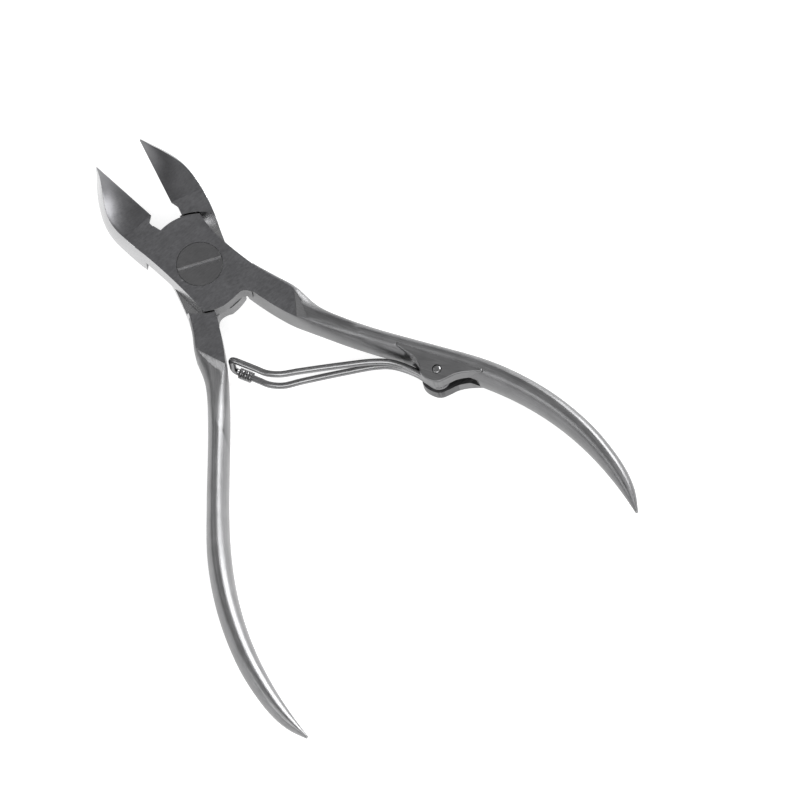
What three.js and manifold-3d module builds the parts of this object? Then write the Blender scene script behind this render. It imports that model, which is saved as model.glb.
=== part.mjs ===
// A plier-type nail nipper, open and at rest, in millimetres.
// +Y runs from the pivot to the jaw tips, +X is the right-hand side and +Z is the face with the screw.
// The pivot is the Z axis, and Z is 0 on the back face of the lap joint.

import * as THREE from "three";
import { mergeVertices } from "three/addons/utils/BufferGeometryUtils.js";
import Module from "manifold-3d";

const wasm = await Module();
wasm.setup();

// ---- Driving dimensions, mm and degrees ----

// Lap joint
const jointThickness = 6.9;
const lapGap = 0.12;
const jawLapRadius = 10.4;
const handleLapRadius = 9.85;
const lapClearance = 0.35;

// Outlines of the two lap plates: the waists are half widths beside the screw, and the lip is the
// wavy lower edge between the handles
const frontPlate = { leftWaist: 5.65, rightWaist: 5.65, neck: 7.2, jawCorner: 55, vNotch: 101.5 };
const frontLip = { start: -96, hollow: 0.1, rise: 0.5, from: 0.9, to: 2.9 };
const backPlate = { leftWaist: 5.2, rightWaist: 6.25, neck: 6.45, jawCorner: 120, vNotch: 74.5 };
const backLip = { start: -89, rise: 0.4, from: -0.7, to: -1.6 };
const handleCorner = 30;

// Screw
const screwHeadRadius = 4.45;
const screwHeadDepth = 1.5;
const screwShankRadius = 2.7;
const screwEndRadius = 2.2;
const screwSlotWidth = 0.85;
const screwSlotDepth = 0.7;
const screwSlotTurn = -19;
const screwFit = 0.05;

// Jaws. A jaw's turn is the direction of its cutting edge, anticlockwise from +X. Its outer side is one
// curve from the root's half width to the tip, pulled towards the places named swell and taper.
const jawReach = 30.7;
const jawRoot = 7.5;
const heelReach = 14;
const heelHeight = 6.45;
const edgeOffset = 0.15;
const tipHeight = 0.45;
const tipDepth = 0.35;
const tipWidth = 0.3;
const jawArchRise = 1.5;
const jawArchStart = 9.6;
const jawShoulder = 19.8;
const crownRun = 6.2;
const topEase = 0.12;
const jawRelief = 0.28;
const leftJaw = {
  turn: 96.43,
  rootWidth: 6.3,
  swell: { out: 8.3, along: 20 },
  taper: { out: 7.2, along: 18.6 },
  draft: 1,
  notch: 1.35,
};
const rightJaw = {
  turn: 78.69,
  rootWidth: 6.75,
  swell: { out: 7.6, along: 21.3 },
  taper: { out: 2.8, along: 24.2 },
  draft: 0.25,
  notch: 0.75,
};

// How much further out a jaw's lower side is than its upper one, from root to tip, as shares of its draft
const draftAlong = [[0, 0.5], [0.26, 0.5], [0.43, 0.7], [0.71, 1.05], [0.84, 0.8], [1, 0]];

// Handles, each written for the right-hand side: the left one is mirrored
const handleDepth = 9.5;
const handleThickness = 4.3;
const innerBulge = 1;
const flatRamp = 20;
const rightHandle = {
  root: { x: 4, y: -7 },
  bend: { x: 12.3, y: -41.5 },
  sweep: { x: 3.5, y: 43.7 },
  tip: { x: 38.7, y: -91.2 },
  crease: { x: 10.4, y: -17.3 },
  creaseTurn: 60,
  neckThickness: 4.75,
};
const leftHandle = {
  root: { x: 2.3, y: -7.1 },
  bend: { x: 11.2, y: -37 },
  sweep: { x: 1.4, y: 43.1 },
  tip: { x: 38.3, y: -90.8 },
  crease: { x: 9, y: -17.1 },
  creaseTurn: 64,
  neckThickness: 5.3,
};

// A handle's thickness past its neck, its depth and its inner bulge, as shares of the sizes above
const thicknessAlong = [
  [0.055, 1.26], [0.11, 1.34], [0.14, 1.21], [0.17, 1.07], [0.21, 1], [0.45, 1],
  [0.58, 1.09], [0.79, 1], [0.87, 0.88], [0.92, 0.75], [0.96, 0.53], [1, 0.14],
];
const depthAlong = [
  [0, 0.82], [0.12, 0.82], [0.2, 0.84], [0.3, 0.94], [0.42, 1], [0.65, 1],
  [0.78, 0.92], [0.88, 0.72], [0.95, 0.45], [1, 0.14],
];

const bulgeAlong = [[0, 0], [0.1, 0.05], [0.2, 0.25], [0.6, 0.3], [0.85, 1], [1, 1]];

// How square the section is: 2 is an ellipse, and more is squarer
const squareAlong = [[0, 6], [0.11, 5], [0.17, 3], [0.26, 2.2], [0.4, 2], [1, 2]];

// Spring pin, its lug and its slot
const pinPlace = { x: 24.2, y: -45.6 };
const pinTurn = -55.5;
const pinRadius = 0.9;
const pinFit = 0.03;
const pinSink = 1.1;
const lugRadius = 2.6;
const springSlotWidth = 3.1;
const springSlotSink = 2.1;
const springSlotRadius = 13.5;
const springSlotShift = 1.1;

// Spring, from its loop to the bend at the pin
const wireRadius = 0.65;
const loopPlace = { x: -6.28, y: -19.6 };
const springRoute = [[-2.5, -26.0], [-0.5, -27.8], [2.9, -29.4], [10.2, -33], [16, -36.1], [18.6, -38.2], [21.3, -42.4]];
const loopHalf = 3.2;
const loopCorner = 1.2;
const eyeHalf = 0.74;
const eyeFit = 0.08;
const eyeTail = 2;
const sleeveRadius = 1.1;
const sleeveLength = 2.9;
const sleeveStart = 1.1;
const sleeveFit = 0.08;

// How finely the curved skins are divided
const jawSteps = 18;
const handleSteps = 44;
const handleSides = 24;
const wireSides = 10;
const wireSteps = 150;

const rad = THREE.MathUtils.degToRad;
const midHeight = jointThickness / 2;

// ---- Solids ----

function solidFrom(geometry) {
  const bare = geometry.index ? geometry.toNonIndexed() : geometry.clone();
  bare.deleteAttribute("normal");
  bare.deleteAttribute("uv");
  const merged = mergeVertices(bare, 1e-5);
  const mesh = new wasm.Mesh({
    numProp: 3,
    vertProperties: new Float32Array(merged.attributes.position.array),
    triVerts: new Uint32Array(merged.index.array),
  });
  return new wasm.Manifold(mesh);
}

function geometryFrom(solid) {
  const mesh = solid.getMesh();
  const geometry = new THREE.BufferGeometry();
  geometry.setAttribute("position", new THREE.BufferAttribute(mesh.vertProperties, 3));
  geometry.setIndex(new THREE.BufferAttribute(mesh.triVerts, 1));
  return geometry;
}

function slab(shape, low, high, curveSegments = 12) {
  const geometry = new THREE.ExtrudeGeometry(shape, {
    depth: high - low,
    bevelEnabled: false,
    curveSegments,
  });
  geometry.translate(0, 0, low);
  return solidFrom(geometry);
}

function rod(radius, low, high, x = 0, y = 0, sides = 48) {
  const geometry = new THREE.CylinderGeometry(radius, radius, high - low, sides);
  geometry.rotateX(Math.PI / 2);
  geometry.translate(x, y, (low + high) / 2);
  return solidFrom(geometry);
}

// A cylinder blank whose rings are moved to the given ones, so that it is always one closed skin.
// Each ring runs from +Z by way of +X, and the first ring is the one nearest +Y.
function loft(rings) {
  const corners = rings[0].length;
  const steps = rings.length - 1;
  const blank = new THREE.CylinderGeometry(1, 1, 1, corners, steps);
  const place = blank.attributes.position;
  for (let i = 0; i < place.count; i += 1) {
    const ring = rings[Math.round((0.5 - place.getY(i)) * steps)];
    const turn = Math.atan2(place.getX(i), place.getZ(i)) / (2 * Math.PI);
    const corner = (Math.round(turn * corners) + corners) % corners;
    const onSkin = Math.hypot(place.getX(i), place.getZ(i)) > 0.5;
    const point = onSkin ? ring[corner] : middle(ring);
    place.setXYZ(i, point.x, point.y, point.z);
  }
  return blank;
}

function middle(points) {
  const sum = new THREE.Vector3();
  points.forEach((point) => sum.add(point));
  return sum.divideScalar(points.length);
}

function mirroredX(geometry) {
  const flipped = geometry.index ? geometry.toNonIndexed() : geometry;
  const place = flipped.attributes.position;
  for (let i = 0; i < place.count; i += 3) {
    const [a, b, c] = [i, i + 1, i + 2].map((k) => new THREE.Vector3().fromBufferAttribute(place, k));
    place.setXYZ(i, -a.x, a.y, a.z);
    place.setXYZ(i + 1, -c.x, c.y, c.z);
    place.setXYZ(i + 2, -b.x, b.y, b.z);
  }
  return flipped;
}

// A smooth value at a place, through [place, value] pairs.
function along(pairs, place) {
  const last = pairs.length - 1;
  let i = 0;
  while (i < last - 1 && place > pairs[i + 1][0]) i += 1;
  const slope = (a, b) => (pairs[b][1] - pairs[a][1]) / (pairs[b][0] - pairs[a][0]);
  const startSlope = slope(Math.max(i - 1, 0), i + 1);
  const endSlope = slope(i, Math.min(i + 2, last));
  const [x0, y0] = pairs[i];
  const [x1, y1] = pairs[i + 1];
  const width = x1 - x0;
  const t = THREE.MathUtils.clamp((place - x0) / width, 0, 1);
  const blend = t * t * (3 - 2 * t);
  const bow = startSlope * t * (1 - t) ** 2 - endSlope * t * t * (1 - t);
  return y0 + (y1 - y0) * blend + bow * width;
}

// ---- Jaws ----

// One jaw of the right-hand kind, cutting edge along +Y and outside towards +X.
function jawGeometry(jaw) {
  const outside = new THREE.CubicBezierCurve(
    new THREE.Vector2(jaw.rootWidth, jawRoot),
    new THREE.Vector2(jaw.swell.out, jaw.swell.along),
    new THREE.Vector2(jaw.taper.out, jaw.taper.along),
    new THREE.Vector2(edgeOffset + tipWidth, jawReach),
  );
  const crown = new THREE.QuadraticBezierCurve(
    new THREE.Vector2(jawShoulder, jointThickness),
    new THREE.Vector2(jawShoulder + crownRun, jointThickness),
    new THREE.Vector2(jawReach, tipHeight + tipDepth),
  );
  const rings = [];
  jawPlaces().forEach((y) => rings.push(jawRing(jaw, y, outside, crown)));
  return loft(rings);
}

function jawPlaces() {
  const places = [];
  for (let i = 0; i <= jawSteps; i += 1) {
    places.push(jawReach - (jawReach - heelReach) * (i / jawSteps));
  }
  places.push(heelReach - 0.3, heelReach - 0.6, heelReach - 1);
  for (let i = 1; i <= 5; i += 1) {
    places.push(heelReach - 1 + (jawRoot - heelReach + 1) * (i / 5));
  }
  return places;
}

function jawRing(jaw, y, outside, crown) {
  const toHeel = (y - heelReach) / (jawReach - heelReach);
  const beforeHeel = y < heelReach - 0.01;
  const notchShare = THREE.MathUtils.smoothstep(heelReach - y, 0.1, 1);
  const inner = edgeOffset + (beforeHeel ? 0.3 + (jaw.notch - 0.3) * notchShare : 0);
  const edgeZ = beforeHeel ? jointThickness : THREE.MathUtils.lerp(heelHeight, tipHeight, toHeel);
  const outer = Math.max(valueAt(outside, y, "y", "x"), inner + 0.2);
  const topZ = y < jawShoulder ? jointThickness : valueAt(crown, y, "x", "y");
  const archShare = THREE.MathUtils.clamp((y - jawArchStart) / (jawReach - jawArchStart), 0, 1);
  const lowZ = jawArchRise * Math.sin(Math.PI * archShare) ** 1.3 + tipHeight * archShare ** 3 * 0.5;
  const tall = topZ - lowZ;
  const draft = jaw.draft * along(draftAlong, (y - jawRoot) / (jawReach - jawRoot));
  const low = Math.min(inner + jawRelief * (edgeZ - lowZ), outer - 0.1);
  const wide = outer - inner;
  const crownRise = beforeHeel ? 0 : topEase * (topZ - edgeZ);
  const ring = [
    [inner, edgeZ],
    [inner + wide * 0.33, THREE.MathUtils.lerp(edgeZ, topZ, 0.33) + crownRise * 0.9],
    [inner + wide * 0.67, THREE.MathUtils.lerp(edgeZ, topZ, 0.67) + crownRise],
    [outer - wide * 0.06, topZ],
    [outer + draft * 0.35, topZ - tall * 0.16],
    [outer + draft, lowZ + tall * 0.35],
    [outer + draft * 0.9, lowZ],
    [(outer + low) / 2, lowZ + tall * 0.02],
    [low, lowZ],
    [(inner + low) / 2, (edgeZ + lowZ) / 2],
  ];
  return ring.map(([x, z]) => new THREE.Vector3(x, y, z));
}

// The curve's second coordinate where its first one has the given value.
function valueAt(curve, value, known, wanted) {
  let low = 0;
  let high = 1;
  for (let i = 0; i < 30; i += 1) {
    const t = (low + high) / 2;
    if (curve.getPoint(t)[known] < value) low = t;
    else high = t;
  }
  return curve.getPoint(low)[wanted];
}

// ---- Handles ----

// The handle's inner side, from inside the joint to the tip, for a handle of the right-hand kind.
function handleCurve(handle) {
  const tip = new THREE.Vector3(handle.tip.x, handle.tip.y, midHeight);
  const sweep = new THREE.Vector3(handle.sweep.x, handle.sweep.y, 0);
  const curve = new THREE.CubicBezierCurve3(
    new THREE.Vector3(handle.root.x, handle.root.y, midHeight),
    new THREE.Vector3(handle.bend.x, handle.bend.y, midHeight),
    tip.clone().add(sweep),
    tip,
  );
  curve.arcLengthDivisions = 400;
  return curve;
}

function handleGeometry(handle) {
  const curve = handleCurve(handle);
  const rings = [];
  for (let step = 0; step <= handleSteps; step += 1) {
    rings.push(handleRing(handle, curve, handleShare(step / handleSteps)));
  }
  return loft(rings);
}

// More rings towards the tip, where the section changes fastest.
function handleShare(t) {
  return 1 - (1 - t) ** 1.2;
}

function handleRing(handle, curve, share) {
  const neck = [0, handle.neckThickness / handleThickness];
  const thickness = handleThickness * along([neck, ...thicknessAlong], share);
  const depth = handleDepth * along(depthAlong, share);
  const bulge = innerBulge * along(bulgeAlong, share) * Math.min(1, thickness / handleThickness);
  const power = 2 / along(squareAlong, share);
  const base = curve.getPointAt(share);
  const tangent = curve.getTangentAt(share);
  const outward = new THREE.Vector3(-tangent.y, tangent.x, 0);
  const ring = [];
  for (let i = 0; i < handleSides; i += 1) {
    const angle = (i / handleSides) * 2 * Math.PI;
    const out = Math.sign(Math.sin(angle)) * Math.abs(Math.sin(angle)) ** power;
    const up = Math.sign(Math.cos(angle)) * Math.abs(Math.cos(angle)) ** power;
    const across = out > 0 ? bulge + (thickness - bulge) * out : bulge * (1 + out);
    const place = base.clone().addScaledVector(outward, across);
    place.z += (depth / 2) * up;
    ring.push(place);
  }
  return ring;
}

// What the flat grinding of the joint takes off the front or the back of a handle of the right-hand
// kind: it ends in a ramp along a slanting crease.
function flatCut(handle, faceZ, side) {
  const tall = handleDepth;
  const profile = new THREE.Shape();
  profile.moveTo(-4 * jawLapRadius, 0);
  profile.lineTo(0, 0);
  profile.lineTo(tall / Math.tan(rad(flatRamp)), tall * side);
  profile.lineTo(-4 * jawLapRadius, tall * side);
  profile.closePath();
  const wide = 8 * jawLapRadius;
  const cut = new THREE.ExtrudeGeometry(profile, { depth: wide, bevelEnabled: false });
  cut.translate(0, 0, -wide / 2);
  cut.rotateX(Math.PI / 2);
  cut.rotateZ(rad(handle.creaseTurn - 90));
  cut.translate(handle.crease.x, handle.crease.y, faceZ);
  return cut;
}

// ---- Plates of the lap joint ----

function point(radius, degrees) {
  return new THREE.Vector2(radius * Math.cos(rad(degrees)), radius * Math.sin(rad(degrees)));
}

// A place in a jaw's own directions: how far out from its edge line and how far from the pivot.
function jawPoint(jaw, side, out, reach) {
  const direction = point(1, jaw.turn);
  return new THREE.Vector2(
    direction.x * reach + direction.y * out * side,
    direction.y * reach - direction.x * out * side,
  );
}

function frontPlateShape() {
  const low = -handleLapRadius;
  const jawRootCorner = jawPoint(leftJaw, -1, leftJaw.rootWidth + 0.3, jawRoot + 2);
  const inJaw = jawPoint(leftJaw, -1, leftJaw.rootWidth / 2, heelReach - 2);
  const notchFoot = jawPoint(leftJaw, -1, leftJaw.notch, heelReach - 2);
  const shoulder = point(handleLapRadius, -90 - handleCorner);
  const jawCorner = point(jawLapRadius, frontPlate.jawCorner);
  const neck = { x: rightHandle.root.x, y: rightHandle.root.y };
  const shape = new THREE.Shape();
  shape.moveTo(jawRootCorner.x, jawRootCorner.y);
  shape.quadraticCurveTo(-frontPlate.leftWaist, 0.3, shoulder.x, shoulder.y);
  shape.absarc(0, 0, handleLapRadius, rad(-90 - handleCorner), rad(frontLip.start), false);
  shape.quadraticCurveTo(frontLip.from, low + frontLip.hollow, frontLip.to, low + frontLip.rise);
  shape.quadraticCurveTo(neck.x, low + frontLip.rise, neck.x + 0.8, low - 0.8);
  shape.lineTo(neck.x + 4.5, neck.y);
  shape.quadraticCurveTo(frontPlate.neck, -2.6, frontPlate.neck - 0.7, 0.8);
  shape.quadraticCurveTo(frontPlate.rightWaist, 4.5, jawCorner.x, jawCorner.y);
  shape.absarc(0, 0, jawLapRadius, rad(frontPlate.jawCorner), rad(frontPlate.vNotch), false);
  shape.lineTo(notchFoot.x, notchFoot.y);
  shape.lineTo(inJaw.x, inJaw.y);
  shape.closePath();
  return shape;
}

function backPlateShape() {
  const low = -handleLapRadius;
  const jawRootCorner = jawPoint(rightJaw, 1, rightJaw.rootWidth + 0.2, jawRoot + 2);
  const inJaw = jawPoint(rightJaw, 1, rightJaw.rootWidth / 2, heelReach - 2);
  const notchFoot = jawPoint(rightJaw, 1, rightJaw.notch, heelReach - 2);
  const notchTop = point(jawLapRadius, backPlate.vNotch);
  const lipEnd = point(handleLapRadius, backLip.start);
  const neck = { x: -leftHandle.root.x, y: leftHandle.root.y };
  const shape = new THREE.Shape();
  shape.moveTo(jawRootCorner.x, jawRootCorner.y);
  shape.lineTo(inJaw.x, inJaw.y);
  shape.lineTo(notchFoot.x, notchFoot.y);
  shape.lineTo(notchTop.x, notchTop.y);
  shape.absarc(0, 0, jawLapRadius, rad(backPlate.vNotch), rad(backPlate.jawCorner), false);
  shape.quadraticCurveTo(-backPlate.leftWaist, 5.5, -backPlate.leftWaist - 0.55, 3);
  shape.quadraticCurveTo(-backPlate.neck, -1.6, neck.x - 5.3, neck.y + 0.7);
  shape.lineTo(neck.x - 1, low - 0.6);
  shape.quadraticCurveTo(neck.x - 0.5, low + backLip.rise, backLip.to, low + backLip.rise);
  shape.quadraticCurveTo(backLip.from, low + backLip.rise, lipEnd.x, lipEnd.y);
  shape.absarc(0, 0, handleLapRadius, rad(backLip.start), rad(-90 + handleCorner - 5), false);
  shape.quadraticCurveTo(backPlate.rightWaist, -0.5, jawRootCorner.x, jawRootCorner.y);
  return shape;
}

// The room that the other half's plate turns in.
function lapRoom(low, high) {
  const jawRoom = jawLapRadius + lapClearance;
  const handleRoom = handleLapRadius + lapClearance;
  const shape = new THREE.Shape();
  shape.absarc(0, 0, jawRoom, rad(0), rad(180), false);
  shape.lineTo(-handleRoom, 0);
  shape.absarc(0, 0, handleRoom, rad(180), rad(360), false);
  shape.closePath();
  return slab(shape, low, high, 32);
}

// ---- Halves ----

function frontHalfSolid() {
  const jaw = mirroredX(jawGeometry(leftJaw));
  jaw.rotateZ(rad(leftJaw.turn - 90));
  const handle = solidFrom(handleGeometry(rightHandle))
    .add(lugSolid())
    .subtract(solidFrom(flatCut(rightHandle, jointThickness, 1)))
    .subtract(solidFrom(flatCut(rightHandle, 0, -1)));
  return solidFrom(jaw)
    .add(handle)
    .subtract(lapRoom(-handleDepth, midHeight + lapGap / 2))
    .add(slab(frontPlateShape(), midHeight + lapGap / 2, jointThickness))
    .subtract(rod(screwHeadRadius + screwFit, jointThickness - screwHeadDepth, jointThickness + 1))
    .subtract(rod(screwShankRadius + screwFit, 0, jointThickness))
    .subtract(springSlot())
    .subtract(rod(pinRadius + pinFit, -handleDepth, 2 * handleDepth, pinPlace.x, pinPlace.y, 32));
}

function backHalfSolid() {
  const jaw = jawGeometry(rightJaw);
  jaw.rotateZ(rad(rightJaw.turn - 90));
  const handle = solidFrom(mirroredX(handleGeometry(leftHandle)))
    .subtract(solidFrom(mirroredX(flatCut(leftHandle, jointThickness, 1))))
    .subtract(solidFrom(mirroredX(flatCut(leftHandle, 0, -1))));
  return solidFrom(jaw)
    .add(handle)
    .subtract(lapRoom(midHeight - lapGap / 2, 2 * handleDepth))
    .add(slab(backPlateShape(), 0, midHeight - lapGap / 2))
    .subtract(rod(screwEndRadius + screwFit, -1, jointThickness));
}

// ---- Spring pin, lug and slot ----

// A place by the pin: how far along the handle towards its tip, and how far out.
function byPin(ahead, out) {
  const forward = point(ahead, pinTurn);
  const sideways = point(out, pinTurn + 90);
  return new THREE.Vector2(
    pinPlace.x + forward.x + sideways.x,
    pinPlace.y + forward.y + sideways.y,
  );
}

// The rounded lug that carries the spring pin on the inner side of the right handle.
function lugSolid() {
  const inHandle = pinSink + 0.6;
  const start = byPin(-2 * lugRadius, inHandle);
  const rise = byPin(-1.95 * lugRadius, pinSink - 0.1);
  const shoulder = byPin(-1.12 * lugRadius, -0.6 * lugRadius);
  const corner = byPin(-0.8 * lugRadius, -lugRadius);
  const crest = byPin(0, -lugRadius);
  const fall = byPin(1.25 * lugRadius, -0.1 * lugRadius);
  const foot = byPin(1.75 * lugRadius, pinSink - 0.3);
  const end = byPin(2.6 * lugRadius, inHandle);
  const shape = new THREE.Shape();
  shape.moveTo(start.x, start.y);
  shape.lineTo(rise.x, rise.y);
  shape.lineTo(shoulder.x, shoulder.y);
  shape.quadraticCurveTo(corner.x, corner.y, crest.x, crest.y);
  shape.absarc(pinPlace.x, pinPlace.y, lugRadius, rad(pinTurn - 90), rad(pinTurn - 40), false);
  shape.lineTo(fall.x, fall.y);
  shape.quadraticCurveTo(foot.x, foot.y, end.x, end.y);
  shape.closePath();
  return slab(shape, midHeight - handleDepth / 2, midHeight + handleDepth / 2, 10);
}

function springSlot() {
  const centre = byPin(springSlotShift, pinSink + springSlotSink - springSlotRadius);
  const low = midHeight - springSlotWidth / 2;
  return rod(springSlotRadius, low, low + springSlotWidth, centre.x, centre.y, 72);
}

function springPinSolid() {
  const half = handleDepth / 2;
  return rod(pinRadius, midHeight - half, midHeight + half, pinPlace.x, pinPlace.y, 32);
}

// ---- Joint screw ----

function jointScrewSolid() {
  const shankTop = jointThickness - screwHeadDepth + screwFit;
  const shankFoot = midHeight - lapGap / 2 + screwFit;
  const slot = new THREE.BoxGeometry(2.2 * screwHeadRadius, screwSlotWidth, 2 * screwSlotDepth);
  slot.rotateZ(rad(screwSlotTurn));
  slot.translate(0, 0, jointThickness);
  return rod(screwHeadRadius, shankTop, jointThickness)
    .add(rod(screwShankRadius, shankFoot, jointThickness - 0.5))
    .add(rod(screwEndRadius, 0, jointThickness - 0.5))
    .subtract(solidFrom(slot));
}

// ---- Spring ----

// The wire's centre line from the loop's middle to the end of one leg; side is 1 in front, -1 behind.
function legPoints(side) {
  const loop = new THREE.Vector3(loopPlace.x, loopPlace.y, midHeight);
  const outward = legDirection();
  const points = [];
  points.push(loop.clone());
  points.push(new THREE.Vector3(loop.x, loop.y, midHeight + side * (loopHalf - loopCorner)));
  const bend = loopCorner * (1 - Math.SQRT1_2);
  points.push(new THREE.Vector3(loop.x + outward.x * bend, loop.y + outward.y * bend,
    midHeight + side * (loopHalf - bend)));
  [loopCorner, 2.5, 4, 5.5].forEach((run) => {
    points.push(new THREE.Vector3(loop.x + outward.x * run, loop.y + outward.y * run,
      midHeight + side * loopHalf));
  });
  const startX = springRoute[1][0];
  const endX = springRoute[springRoute.length - 1][0];
  springRoute.forEach(([x, y]) => {
    const share = THREE.MathUtils.clamp((x - startX) / (endX - startX), 0, 1);
    points.push(new THREE.Vector3(x, y, midHeight + side * THREE.MathUtils.lerp(loopHalf, eyeHalf, share)));
  });
  return points.concat(eyePoints(side));
}

function legDirection() {
  const [x, y] = springRoute[0];
  return new THREE.Vector2(x - loopPlace.x, y - loopPlace.y).normalize();
}

// Half a turn round the pin, then the tail along the slot's floor.
function eyePoints(side) {
  const [lastX, lastY] = springRoute[springRoute.length - 1];
  const radius = pinRadius + eyeFit + wireRadius;
  const reach = Math.hypot(pinPlace.x - lastX, pinPlace.y - lastY);
  const toPin = Math.atan2(pinPlace.y - lastY, pinPlace.x - lastX);
  const firstTurn = toPin - Math.asin(radius / reach) - Math.PI / 2;
  const lastTurn = rad(pinTurn + 90);
  const z = midHeight + side * eyeHalf;
  const points = [];
  for (let i = 0; i <= 10; i += 1) {
    const turn = THREE.MathUtils.lerp(firstTurn, lastTurn, i / 10);
    points.push(new THREE.Vector3(
      pinPlace.x + radius * Math.cos(turn),
      pinPlace.y + radius * Math.sin(turn),
      z,
    ));
  }
  const tail = byPin(-eyeTail, radius);
  points.push(new THREE.Vector3(tail.x, tail.y, z));
  return points;
}

function springGeometry() {
  const front = legPoints(1);
  const back = legPoints(-1);
  const route = new THREE.CatmullRomCurve3(back.reverse().concat(front.slice(1)));
  route.arcLengthDivisions = 800;
  const section = new THREE.Shape();
  section.absarc(0, 0, wireRadius, 0, 2 * Math.PI, false);
  return new THREE.ExtrudeGeometry(section, {
    steps: wireSteps,
    curveSegments: wireSides / 2,
    bevelEnabled: false,
    extrudePath: route,
  });
}

// The close-wound sleeve on the back leg beside the loop.
function sleeveGeometry() {
  const inner = wireRadius + sleeveFit;
  const profile = [
    new THREE.Vector2(inner, -sleeveLength / 2),
    new THREE.Vector2(sleeveRadius, -sleeveLength / 2),
    new THREE.Vector2(sleeveRadius, sleeveLength / 2),
    new THREE.Vector2(inner, sleeveLength / 2),
    new THREE.Vector2(inner, -sleeveLength / 2),
  ];
  return new THREE.LatheGeometry(profile, 28);
}

// ---- Assembly ----

const brushedSteel = { color: 0xa9abad, metalness: 1, roughness: 0.36 };
const groundSteel = { color: 0x6e7072, metalness: 1, roughness: 0.42 };
const polishedWire = { color: 0xb9bbbd, metalness: 1, roughness: 0.22 };

function named(name, geometry, look) {
  const mesh = new THREE.Mesh(geometry, new THREE.MeshStandardMaterial(look));
  mesh.name = name;
  return mesh;
}

const group = new THREE.Group();
group.add(named("front_half", geometryFrom(frontHalfSolid()), brushedSteel));
group.add(named("back_half", geometryFrom(backHalfSolid()), brushedSteel));
group.add(named("joint_screw", geometryFrom(jointScrewSolid()), groundSteel));
group.add(named("spring_pin", geometryFrom(springPinSolid()), polishedWire));
group.add(named("wire_spring", springGeometry(), polishedWire));

const sleeve = named("spring_sleeve", sleeveGeometry(), polishedWire);
const sleeveRun = sleeveStart + sleeveLength / 2;
sleeve.position.set(
  loopPlace.x + legDirection().x * sleeveRun,
  loopPlace.y + legDirection().y * sleeveRun,
  midHeight - loopHalf,
);
sleeve.rotation.z = legDirection().angle() - Math.PI / 2;
group.add(sleeve);

export default group;
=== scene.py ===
"""A plier-type nail nipper in satin and ground stainless steel, open at rest.

Sizes are in millimetres and become metres where a mesh is made. +Y runs from the pivot to the jaw tips,
+Z is the face with the screw, and the pivot is the Z axis. Both handles and both jaws are written for the
right-hand side: the left ones are mirrored.
"""

import math

import bmesh
import bpy
import numpy as np
from mathutils import Matrix, Vector


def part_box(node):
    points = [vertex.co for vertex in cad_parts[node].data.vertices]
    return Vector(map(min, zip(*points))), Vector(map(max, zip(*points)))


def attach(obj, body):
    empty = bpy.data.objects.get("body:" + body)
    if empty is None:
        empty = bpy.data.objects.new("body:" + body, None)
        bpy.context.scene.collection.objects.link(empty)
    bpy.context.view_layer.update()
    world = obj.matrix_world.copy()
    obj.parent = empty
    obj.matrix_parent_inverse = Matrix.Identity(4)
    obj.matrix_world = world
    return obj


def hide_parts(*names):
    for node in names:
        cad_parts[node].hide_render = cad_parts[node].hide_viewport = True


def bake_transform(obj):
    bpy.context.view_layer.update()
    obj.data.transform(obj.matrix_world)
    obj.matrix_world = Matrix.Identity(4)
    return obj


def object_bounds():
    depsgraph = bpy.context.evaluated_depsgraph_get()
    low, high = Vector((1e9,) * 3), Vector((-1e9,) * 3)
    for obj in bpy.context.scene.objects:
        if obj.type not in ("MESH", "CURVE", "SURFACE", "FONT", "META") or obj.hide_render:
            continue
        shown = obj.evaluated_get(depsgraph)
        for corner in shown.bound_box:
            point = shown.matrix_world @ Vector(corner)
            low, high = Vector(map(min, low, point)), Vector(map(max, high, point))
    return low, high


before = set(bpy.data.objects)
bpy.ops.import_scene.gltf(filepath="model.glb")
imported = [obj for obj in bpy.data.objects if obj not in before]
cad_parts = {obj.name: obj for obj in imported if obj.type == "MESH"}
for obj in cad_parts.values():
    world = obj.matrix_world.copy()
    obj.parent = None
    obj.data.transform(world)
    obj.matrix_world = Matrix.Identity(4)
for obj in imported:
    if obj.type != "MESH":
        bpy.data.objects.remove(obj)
cad_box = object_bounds()

MM = 0.001

# ---- Sizes shared with the design ----

SCREW_LOW, SCREW_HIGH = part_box("joint_screw")
PIN_LOW, PIN_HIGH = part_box("spring_pin")
TOP = SCREW_HIGH[2] / MM
MIDDLE = TOP / 2
LAP_GAP = 0.12
JAW_LAP = 10.4
HANDLE_LAP = 9.85
LAP_ROOM = 0.35
PIN_X = (PIN_LOW[0] + PIN_HIGH[0]) / 2 / MM
PIN_Y = (PIN_LOW[1] + PIN_HIGH[1]) / 2 / MM
PIN_TURN = -55.5

JAW_REACH = 30.7
JAW_ROOT = 7.5
HEEL_REACH = 14
HEEL_HEIGHT = 6.45
TIP_HEIGHT = 0.45
TIP_WIDTH = 0.45
EDGE_LAND = 0.15
HEEL_STEP = 0.3
JAW_SHOULDER = 19.8
LEFT_JAW = {
    "turn": 96.43,
    "side": -1,
    "root": 6.3,
    "swell": (8.3, 20),
    "taper": (7.2, 18.6),
    "draft": 1,
    "notch": 1.35,
    "crown": -0.07,
}
RIGHT_JAW = {
    "turn": 78.69,
    "side": 1,
    "root": 6.75,
    "swell": (7.6, 21.3),
    "taper": (2.8, 24.2),
    "draft": 0.25,
    "notch": 0.75,
    "crown": 0.12,
}
DRAFT_ALONG = [(0, 0.5), (0.26, 0.5), (0.43, 0.7), (0.71, 1.05), (0.84, 0.8), (1, 0)]

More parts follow.
